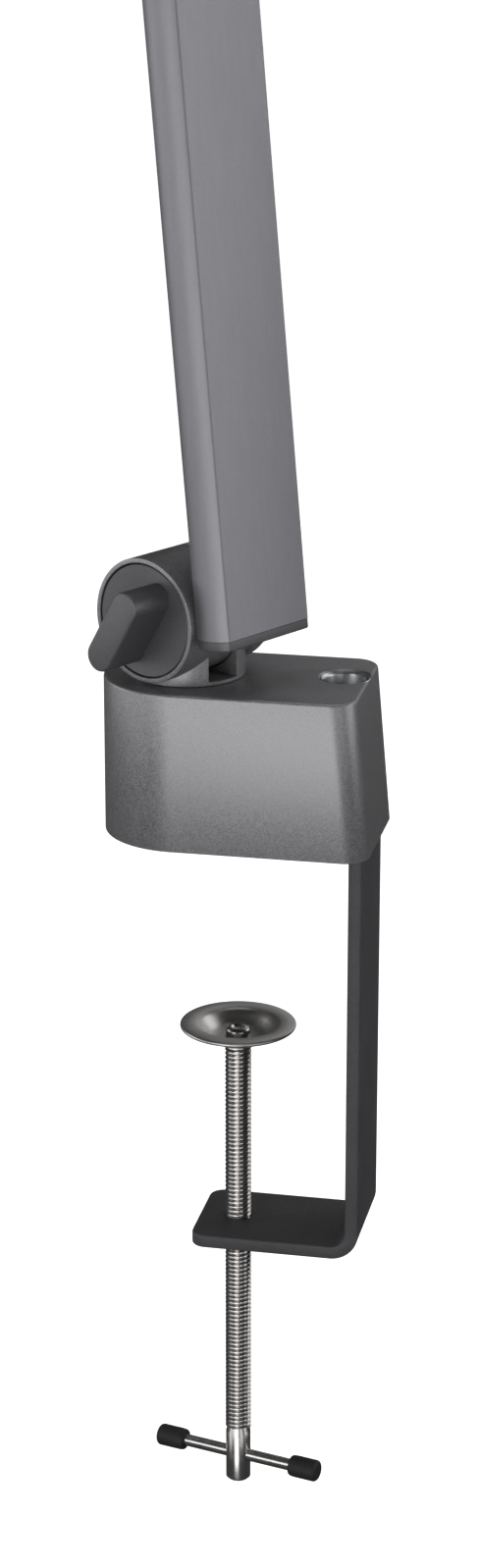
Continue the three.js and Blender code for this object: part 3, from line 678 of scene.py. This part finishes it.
# ---- clamp
class ARM_OT_bracket(Operator):
    """Bends the flat bar that reaches round the desk's edge"""
    bl_idname = "monitor_arm.bracket"
    bl_label = "Clamp bracket"

    def execute(self, context):
        clamp = context.scene.arm_clamp
        low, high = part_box("clamp_bracket")
        outer = clamp.bend + clamp.thickness
        centre = (clamp.inner - clamp.bend, clamp.jaw_top + clamp.bend)
        top, arm_low = high[2], high[2] - clamp.thickness
        side = [(low[0], top), (low[0], arm_low), (clamp.inner, arm_low)]
        side += arc(*centre, clamp.bend, 0, -90, 16)
        side += [(clamp.jaw_end, clamp.jaw_top), (clamp.jaw_end, clamp.jaw_top - clamp.thickness)]
        side += arc(*centre, outer, -90, 0, 24)
        bend = 2 * MM
        side += arc(clamp.inner + clamp.thickness - bend, top - bend, bend, 0, 90, 6)
        half = clamp.width / 2
        bar = raised("bent_bracket", side, -half, half, Matrix.Rotation(math.pi / 2, 4, "X"))
        jaw_end, jaw_top = clamp.jaw_end + SLACK, clamp.jaw_top + MM

        def jaw_corner(edge):
            return rise(edge) > MM and all(v.co.x < jaw_end and v.co.z < jaw_top for v in edge.verts)

        round_edges(bar, clamp.corner, 8, jaw_corner)
        round_edges(bar, MM * 0.45)
        below_jaw, above_jaw = clamp.jaw_top - 9 * MM, clamp.jaw_top + 4 * MM
        swivel_hole = rod("swivel_hole", 11 * MM, 0, 12 * MM)
        place(swivel_hole, Matrix.Translation((context.scene.arm_base.centre, 0, 0)))
        cut(bar, rod("screw_hole", clamp.crest + 0.15 * MM, below_jaw, above_jaw), swivel_hole)
        finish_piece(smooth(bar), "base", "black_steel", "clamp_bracket")
        return {"FINISHED"}


def screw_core(name, clamp, top, bottom, thread_top):
    """The screw's shank and the core that the thread is wound round."""
    tip, shank, neck = clamp.crest - 0.9 * MM, clamp.crest - 0.15 * MM, clamp.root - 0.6 * MM
    return turned(name, [
        (0, bottom), (tip, bottom), (shank, bottom + 0.7 * MM), (shank, clamp.thread_end - 0.4 * MM),
        (clamp.root, clamp.thread_end + 0.3 * MM), (clamp.root, thread_top), (neck, top), (0, top),
    ], 64)


def thread_ridge(name, clamp, thread_top):
    """One helical ridge, wound from a drawn tooth, closed at both ends."""
    half = clamp.pitch * 0.46
    turns = int((thread_top - clamp.thread_end) / clamp.pitch) - 1
    start = clamp.thread_end + clamp.pitch * 0.6
    sunk = clamp.root - 0.15 * MM
    crest = clamp.pitch * 0.08
    tooth = [(sunk, 0, start - half), (clamp.crest, 0, start - crest), (clamp.crest, 0, start + crest),
             (sunk, 0, start + half)]
    ridge = drawn(name, tooth, closed=True)
    with edit(ridge):
        bpy.ops.mesh.select_all(action="SELECT")
        bpy.ops.mesh.delete(type="ONLY_FACE")
    activate(ridge)
    winding = ridge.modifiers.new("Winding", "SCREW")
    winding.screw_offset, winding.iterations = clamp.pitch, turns
    winding.steps = winding.render_steps = 28
    bpy.ops.object.modifier_apply(modifier=winding.name)
    middle_z = start + turns * clamp.pitch / 2
    for low_end in (True, False):
        with edit(ridge, "EDGE") as mesh:
            choose(ridge, mesh, "edges", lambda e: e.is_boundary and (middle(e).z < middle_z) == low_end)
            bpy.ops.mesh.edge_face_add()
    return tidy_shell(ridge)


class ARM_OT_screw(Operator):
    """Builds the threaded clamp screw with its riveted end"""
    bl_idname = "monitor_arm.screw"
    bl_label = "Clamp screw"

    def execute(self, context):
        clamp = context.scene.arm_clamp
        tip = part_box("clamp_screw")[1][2]
        floor = clamp.dish_rim - clamp.dish_depth
        under = floor - clamp.dish_sheet
        thread_top = under - 1.2 * MM
        screw = screw_core("threaded_screw", clamp, under - 0.1 * MM, clamp.bottom, thread_top)
        pin, head, low = 2.7 * MM, 3.7 * MM, under - 0.6 * MM
        rivet = turned("rivet", [
            (0, low), (pin, low), (pin, floor + 0.15 * MM), (head, floor + 0.2 * MM), (head, tip - 1.1 * MM),
            (3.2 * MM, tip - 0.5 * MM), (2.2 * MM, tip - 0.3 * MM), (1.6 * MM, tip - 0.9 * MM),
            (0, tip - 1.0 * MM),
        ], 48)
        bar = JOINTS["bar_slide"]["axis"]
        bar_z = sum(corner[2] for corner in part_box("tommy_bar")) / 2
        reach = 9 * MM
        hole = rod("cross_hole", clamp.bar_radius + 0.1 * MM, -reach, reach, "x", 32)
        place(hole, Matrix.Translation((0, 0, bar_z)) @ Matrix.Rotation(math.atan2(bar[1], bar[0]), 4, "Z"))
        cut(screw, hole)
        ridge = thread_ridge("ridge", clamp, thread_top)
        activate(screw)
        rivet.select_set(True)
        ridge.select_set(True)
        bpy.ops.object.join()
        finish_piece(smooth(screw, 40), "screw", "bright_steel", "clamp_screw")
        return {"FINISHED"}


class ARM_OT_foot(Operator):
    """Presses the dished foot of the clamp screw"""
    bl_idname = "monitor_arm.foot"
    bl_label = "Clamp foot"

    def execute(self, context):
        clamp = context.scene.arm_clamp
        rim, sheet = clamp.dish_rim, clamp.dish_sheet
        floor = rim - clamp.dish_depth
        lip = sheet / 2
        upper = [(2.9 * MM, floor), (6.0 * MM, floor), (7.4 * MM, floor + 0.35 * MM),
                 (8.8 * MM, floor + 1.3 * MM), (10.2 * MM, floor + 2.8 * MM), (11.2 * MM, rim - 0.75 * MM),
                 (12.1 * MM, rim - 0.2 * MM), (13.0 * MM, rim)]
        edge = [(clamp.dish_radius - lip + lip * math.sin(a), rim - lip + lip * math.cos(a))
                for a in (i * math.pi / 8 for i in range(9))]
        under, below_floor = rim - sheet, floor - sheet
        lower = [(13.2 * MM, under), (12.2 * MM, under - 0.3 * MM), (11.2 * MM, under - 1.2 * MM),
                 (9.9 * MM, floor + 1.1 * MM), (8.6 * MM, floor - 0.2 * MM), (7.2 * MM, below_floor + 0.1 * MM),
                 (6.0 * MM, below_floor), (2.9 * MM, below_floor)]
        dish = turned("pressed_foot", upper + edge + lower, 128)
        finish_piece(smooth(dish, 50), "foot", "bright_steel", "clamp_dish", look="pressed_sheet")
        return {"FINISHED"}


class ARM_OT_cross_bar(Operator):
    """Builds the cross bar and its two rubber caps"""
    bl_idname = "monitor_arm.cross_bar"
    bl_label = "Cross bar"

    def execute(self, context):
        clamp = context.scene.arm_clamp
        axis = JOINTS["bar_slide"]["axis"]
        low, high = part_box("tommy_bar")
        centre = Matrix.Translation([(a + b) / 2 for a, b in zip(low, high)])
        bar_frame = centre @ Matrix.Rotation(math.atan2(axis[1], axis[0]), 4, "Z")
        half, chamfer, radius = 26.5 * MM, 0.4 * MM, clamp.bar_radius
        bar = turned("cross_bar_rod", [
            (0, -half), (radius - chamfer, -half), (radius, -half + chamfer), (radius, half - chamfer),
            (radius - chamfer, half), (0, half),
        ], 40, "x")
        finish_piece(smooth(place(bar, bar_frame)), "cross_bar", "bright_steel", "tommy_bar")
        outer, bore, inner, tip = clamp.cap_radius, radius + 0.05 * MM, clamp.cap_inner, clamp.cap_outer
        crown = 1.3 * MM
        profile = [(0, half + 0.1 * MM), (bore, half + 0.1 * MM), (bore, inner), (outer - 0.9 * MM, inner),
                   (outer - 0.35 * MM, inner + 0.2 * MM), (outer - 0.1 * MM, inner + 0.7 * MM),
                   (outer, inner + 2 * MM)]
        profile += [(outer - crown + crown * math.cos(t), tip - crown + crown * math.sin(t))
                    for t in (i * math.pi / 12 for i in range(7))]
        profile += [(0, tip)]
        for name, side, node in (("rubber_cap_left", 180, "bar_cap_left"),
                                 ("rubber_cap_right", 0, "bar_cap_right")):
            cap = turned(name, profile, 48, "x")
            place(cap, bar_frame @ Matrix.Rotation(math.radians(side), 4, "Z"))
            finish_piece(smooth(cap, 40), "cross_bar", "rubber", node)
        return {"FINISHED"}


# ---- tilt joints
def drum_room(name, joint):
    """A cutter that makes room for the hub between the two drums."""
    start, end = joint.front_end + SKIN, joint.rear_start - SKIN
    return rod(name, joint.drum + 0.5 * MM, start, end, "y", 128)


def front_drum(joint):
    """The knob's drum: a rounded rim round a well."""
    r, rim, well, c = joint.drum, joint.front, joint.recess, joint.chamfer
    bottom = joint.disc_back + 0.3 * MM
    return turned("front_drum", [
        (0, bottom), (well, bottom), (well, rim + 0.15 * MM), (well + 0.15 * MM, rim), (r - 0.3 * MM, rim),
        (r - 0.08 * MM, rim + 0.08 * MM), (r, rim + 0.3 * MM), (r, joint.front_end - c),
        (r - c, joint.front_end), (0, joint.front_end),
    ], 160, "y")


def rear_drum(joint):
    """The far drum, with a shallow seat for the pivot cover."""
    r, start, end, c = joint.drum, joint.rear_start, joint.rear, joint.chamfer
    seat, floor, narrow = joint.cover + 0.25 * MM, end - 2.2 * MM, r - joint.taper / 3
    return turned("rear_drum", [
        (0, start), (r - c, start), (r, start + c), (r, end - joint.taper), (narrow, end - 0.3 * MM),
        (narrow - 0.3 * MM, end), (seat, end), (seat, floor), (0, floor),
    ], 128, "y")


def tilt_knob(name, joint):
    """A disc with a straight lever across it."""
    r, face, back = joint.disc, joint.disc_face, joint.disc_back
    disc = turned(name, [(0, back), (r, back), (r, face + 0.3 * MM), (r - 0.25 * MM, face), (0, face)],
                  128, "y")
    root, tip, radius = Vector((5.2, 7.4)) * MM, Vector((-4.6, -8.4)) * MM, 4.6 * MM
    turn = math.degrees(math.atan2(tip.y - root.y, tip.x - root.x))
    outline = arc(tip.x, tip.y, radius, turn - 90, turn + 90, 24)
    outline += arc(root.x, root.y, radius, turn + 90, turn + 270, 24)
    # The outline is drawn level and stood up in the drum's XZ plane, which turns its faces inside out.
    upright = Matrix(((1, 0, 0, 0), (0, 0, 1, 0), (0, 1, 0, 0), (0, 0, 0, 1)))
    lever = tidy_shell(raised("lever", outline, joint.lever_face, face + MM, upright))
    round_edges(lever, 0.7 * MM, 3, below("y", joint.lever_face + SLACK))
    return join(disc, lever)


def pivot_cover(name, joint):
    r, inner, outer = joint.cover, joint.rear - 1.9 * MM, joint.rear - 0.3 * MM
    return turned(name, [(0, inner), (r, inner), (r, joint.rear - 0.8 * MM), (r - 0.5 * MM, outer), (0, outer)],
                  96, "y")


def hub_shape(name, joint, tube, pad_side):
    """The drum on the tube, with a flat pad that the tube is screwed to."""
    r, start, end, c = joint.drum, joint.hub_start, joint.hub_end, joint.chamfer
    hub = turned(name, [(0, start), (r - c, start), (r, start + c), (r, end - c), (r - c, end), (0, end)],
                 128, "y")
    low, high = sorted((-2.4 * MM * pad_side, 19 * MM * pad_side))
    pad = block("pad", (0, start + c, low), (tube.near - 0.15 * MM, end - c, high))
    round_edges(pad, 0.5 * MM, 3)
    return join(hub, pad)


class ARM_OT_turret(Operator):
    """Builds the turret with its two uprights and the drums above them"""
    bl_idname = "monitor_arm.turret"
    bl_label = "Turret"

    def execute(self, context):
        joint, base = context.scene.arm_joint, context.scene.arm_base
        top = base.height - JOINTS["arm_tilt"]["pos_m"][2]
        r = joint.turret
        column = turned("turret_body", [(0, top + 0.1 * MM), (r - 0.25 * MM, top + 0.1 * MM),
                                        (r, top + 0.35 * MM), (r, 0), (0, 0)], 160)
        reach, slot_floor = 40 * MM, top + joint.turret_lip + 0.3 * MM
        slot = block("slot", (-reach, joint.slot_front, slot_floor), (reach, joint.slot_rear, reach))
        pad_room = block("pad_room", (0, joint.front_end, -5 * MM), (reach, joint.rear_start, reach))
        cut(column, slot, drum_room("room", joint), pad_room)
        stem = rod("stem", 7.5 * MM, top - 31 * MM, top + 0.6 * MM)
        join(column, stem, front_drum(joint), rear_drum(joint))
        place(column, TURRET_FRAME)
        finish_piece(smooth(column), "turret", "grey_paint", "turret_yoke")
        cover = place(pivot_cover("pivot_cap", joint), TURRET_FRAME)
        finish_piece(smooth(cover), "turret", "graphite", "pivot_cover")
        return {"FINISHED"}


class ARM_OT_knobs(Operator):
    """Builds the two locking knobs"""
    bl_idname = "monitor_arm.knobs"
    bl_label = "Knobs"

    def execute(self, context):
        joint = context.scene.arm_joint
        for name, where, body, node in (("lower_knob", TURRET_FRAME, "tilt_knob", "knob"),
                                        ("upper_knob", HEAD_FRAME, "head_knob", "head_knob")):
            knob = place(tilt_knob(name, joint), where)
            finish_piece(smooth(knob), body, "graphite", node)
        return {"FINISHED"}


# ---- arm
def tube_outline(tube, inset):
    """Two flat wide faces and two bulging narrow ones, with slightly rounded corners."""
    half = tube.thickness / 2
    centre = tube.near + half
    radius = (half * half + tube.bulge * tube.bulge) / (2 * tube.bulge)
    spread = math.degrees(math.asin((half - inset) / (radius - inset)))
    front, rear = tube.front - tube.bulge + radius, tube.rear + tube.bulge - radius
    outline = arc(centre, front, radius - inset, -90 - spread, -90 + spread, 24)
    outline += arc(centre, rear, radius - inset, 90 - spread, 90 + spread, 24)
    return outline


class ARM_OT_tube(Operator):
    """Draws the arm's tube, its end caps and the hubs on it"""
    bl_idname = "monitor_arm.tube"
    bl_label = "Arm tube"

    def execute(self, context):
        tube, joint = context.scene.arm_tube, context.scene.arm_joint
        end = tube.start + tube.run
        body = raised("drawn_tube", tube_outline(tube, 0), tube.start, end)
        round_edges(body, tube.edge, 4, lambda e: rise(e) > tube.run / 2, 20)
        inner = raised("inner", tube_outline(tube, tube.wall), tube.start - MM, end + MM)
        cut(body, inner)
        finish_piece(smooth(place(body, ARM_FRAME)), "arm", "anodised_tube", "arm_tube")
        for name, node, z, way in (("lower_cap", "lower_end_cap", tube.start - 0.15 * MM, -1),
                                   ("upper_cap", "upper_end_cap", end + 0.15 * MM, 1)):
            low, high = sorted((z, z + way * tube.cap))
            lid = raised(name, tube_outline(tube, 0.1 * MM), low, high)
            round_edges(lid, tube.edge, 4, lambda e: rise(e) > MM, 20)
            far = high if way > 0 else low
            round_edges(lid, 0.6 * MM, 3, lambda e: all(abs(v.co.z - far) < SLACK for v in e.verts))
            finish_piece(smooth(place(lid, ARM_FRAME)), "arm", "graphite", node)
        for name, where, node, side in (("lower_hub_drum", ARM_FRAME, "lower_hub", 1),
                                        ("upper_hub_drum", UPPER_FRAME, "upper_hub", -1)):
            hub = place(hub_shape(name, joint, tube, side), where)
            finish_piece(smooth(hub), "arm", "grey_paint", node)
        return {"FINISHED"}


# ---- head
class ARM_OT_head(Operator):
    """Builds the head's yoke and the mounting plate"""
    bl_idname = "monitor_arm.head"
    bl_label = "Head"

    def execute(self, context):
        joint, head = context.scene.arm_joint, context.scene.arm_head
        half, far, near = head.half, head.bridge_far, head.bridge_near
        inset = 2 * MM
        body = block("yoke_body", (far, joint.front + inset, -half), (-8 * MM, joint.rear - inset, half))
        round_edges(body, 2 * MM, 5, below("x", far + SLACK))
        room = drum_room("hollow", joint)
        nose = rod("nose", head.nose, head.nose_end, near - MM, "x", 96)
        round_edges(nose, 0.5 * MM, 3, below("x", head.nose_end + SLACK))
        place(nose, Matrix.Translation((0, head.middle, 0)))
        gap = block("gap", (near, joint.front_end + SKIN, -half - MM), (0, joint.rear_start - SKIN, half + MM))
        cut(body, gap)
        join(body, nose, front_drum(joint), rear_drum(joint))
        cut(body, room)
        finish_piece(smooth(place(body, HEAD_FRAME)), "head", "grey_paint", "head_yoke")
        cover = place(pivot_cover("head_pivot_cap", joint), HEAD_FRAME)
        finish_piece(smooth(cover), "head", "graphite", "head_pivot_cover")

        corner = head.plate_corner
        inner = head.plate / 2 - corner
        quarters = enumerate(((inner, inner), (-inner, inner), (-inner, -inner), (inner, -inner)))
        outline = [point for i, (x, y) in quarters for point in arc(x, y, corner, 90 * i, 90 * i + 90, 12)]
        plate = raised("plate_body", outline, 0, head.plate_sheet)
        round_edges(plate, 0.4 * MM, 3, lambda e: rise(e) < SLACK)
        place(plate, Matrix.Translation((head.plate_near, 0, 0)) @ Matrix.Rotation(-math.pi / 2, 4, "Y"))
        join(plate, rod("collar", head.nose, head.plate_near - MM, -31.2 * MM, "x", 96))
        through, apart = -60 * MM, head.pattern / 2
        bore = rod("bore", 3.3 * MM, through, 0, "x", 48)
        seat_floor = head.plate_near - head.plate_sheet + 1.9 * MM
        seat = rod("seat", 6.9 * MM, through, seat_floor, "x")
        corners = [place(rod("hole", head.hole, through, 0, "x", 32), Matrix.Translation((0, y, z)))
                   for y in (-apart, apart) for z in (-apart, apart)]
        cut(plate, bore, seat, *corners)
        place(plate, HEAD_FRAME @ Matrix.Translation((0, head.middle, 0)))
        finish_piece(smooth(plate), "plate", "black_steel", "mount_plate")
        return {"FINISHED"}


class ARM_OT_fasteners(Operator):
    """Gives the pieces carried over from the frame their finishes"""
    bl_idname = "monitor_arm.fasteners"
    bl_label = "Fasteners and inner pieces"

    def execute(self, context):
        slots = {part["node"]: part["material_slot"] for part in frame["record"]["subparts"]}
        made = finishes(context.scene.arm_colours)
        for name, obj in frame["nodes"].items():
            obj.data.materials.clear()
            obj.data.materials.append(made[slots[name]])
        return {"FINISHED"}


# ---- stage
def softbox(name, stage, azimuth, elevation, size, power):
    """A square area light on a sphere round the object, turned towards it; angles in degrees."""
    aside, up = math.radians(azimuth), math.radians(elevation)
    level = math.cos(up)
    location = stage.light_distance * Vector((math.cos(aside) * level, math.sin(aside) * level, math.sin(up)))
    target = Vector((0, 0, 50 * MM))
    deselect()
    bpy.ops.object.light_add(type="AREA", location=location)
    light = bpy.context.object
    light.name = name
    light.data.shape = "SQUARE"
    light.data.size = size
    light.data.energy = power
    light.visible_camera = False
    light.rotation_mode = "QUATERNION"
    light.rotation_quaternion = (target - location).to_track_quat("-Z", "Y")
    return light


# Azimuth and elevation in degrees and side in metres, each with the stage's power of that name.
SOFTBOXES = (
    ("front", 268, -12, 0.8), ("front_left", 240, 10, 0.7), ("low_left", 210, -4, 0.6), ("left", 180, 10, 0.9),
    ("front_right", 310, 5, 0.8), ("right", 0, 10, 0.9), ("back_right", 40, 25, 0.9), ("back", 78, 20, 1.1),
    ("top", 0, 88, 1.0),
)


class ARM_OT_stage(Operator):
    """Sets up the floor, the lights and the camera"""
    bl_idname = "monitor_arm.stage"
    bl_label = "Stage"

    def execute(self, context):
        stage = context.scene.arm_stage
        floor_z = CAD_BOX[0][2] - stage.floor_gap
        deselect()
        bpy.ops.mesh.primitive_plane_add(size=60, location=(0, 0, floor_z))
        floor = context.object
        floor.name = "floor"
        paper = Finish("pale_floor", Roughness=0.9, Specular_IOR_Level=0.1, Base_Color=(0.9, 0.9, 0.9))
        paper.surface.inputs["Emission Color"].default_value = (1, 1, 1, 1)
        paper.surface.inputs["Emission Strength"].default_value = 1.0
        floor.data.materials.append(paper.material)
        # The floor is seen white, and neither lights the object nor stands in a light's way.
        floor.visible_diffuse = floor.visible_glossy = floor.visible_shadow = False

        for key, azimuth, elevation, size in SOFTBOXES:
            softbox(key + "_light", stage, azimuth, elevation, size, getattr(stage, key))
        world = bpy.data.worlds.new("studio")
        context.scene.world = world
        world.use_nodes = True
        background = world.node_tree.nodes["Background"].inputs
        background["Color"].default_value = (0.9, 0.92, 0.95, 1)
        background["Strength"].default_value = stage.surroundings

        level = math.cos(stage.pitch)
        forward = Vector((-math.sin(stage.yaw) * level, math.cos(stage.yaw) * level, -math.sin(stage.pitch)))
        target = Vector((stage.target_x, 0, stage.target_z))
        bpy.ops.object.camera_add(location=target - forward * stage.distance)
        camera = context.object
        camera.rotation_mode = "QUATERNION"
        camera.rotation_quaternion = forward.to_track_quat("-Z", "Y")
        camera.data.lens = stage.focal
        camera.data.clip_start, camera.data.clip_end = 0.01, 100
        context.scene.camera = camera
        context.scene.view_settings.view_transform = "Standard"
        return {"FINISHED"}


# ---- panel and registration
STEPS = (
    ARM_OT_stage, ARM_OT_fasteners, ARM_OT_base, ARM_OT_bracket, ARM_OT_screw, ARM_OT_foot, ARM_OT_cross_bar,
    ARM_OT_turret, ARM_OT_knobs, ARM_OT_tube, ARM_OT_head,
)
SETTINGS = {
    "arm_base": ArmBaseSizes, "arm_clamp": ArmClampSizes, "arm_joint": ArmJointSizes,
    "arm_tube": ArmTubeSizes, "arm_head": ArmHeadSizes, "arm_colours": ArmColours, "arm_stage": ArmStage,
}


class ARM_PT_panel(Panel):
    bl_idname = "ARM_PT_panel"
    bl_label = "Monitor Arm"
    bl_space_type = "VIEW_3D"
    bl_region_type = "UI"
    bl_category = "Monitor Arm"

    def draw(self, context):
        for step in STEPS:
            self.layout.operator(step.bl_idname)


def register():
    for group in SETTINGS.values():
        bpy.utils.register_class(group)
    for name, group in SETTINGS.items():
        setattr(bpy.types.Scene, name, PointerProperty(type=group))
    for step in (*STEPS, ARM_PT_panel):
        bpy.utils.register_class(step)


def unregister():
    for step in (ARM_PT_panel, *reversed(STEPS)):
        bpy.utils.unregister_class(step)
    for name in reversed(SETTINGS):
        delattr(bpy.types.Scene, name)
    for group in reversed(SETTINGS.values()):
        bpy.utils.unregister_class(group)


def main():
    register()
    for step in STEPS:
        group, name = step.bl_idname.split(".")
        getattr(getattr(bpy.ops, group), name)()
    deselect()


if __name__ == "__main__":
    main()
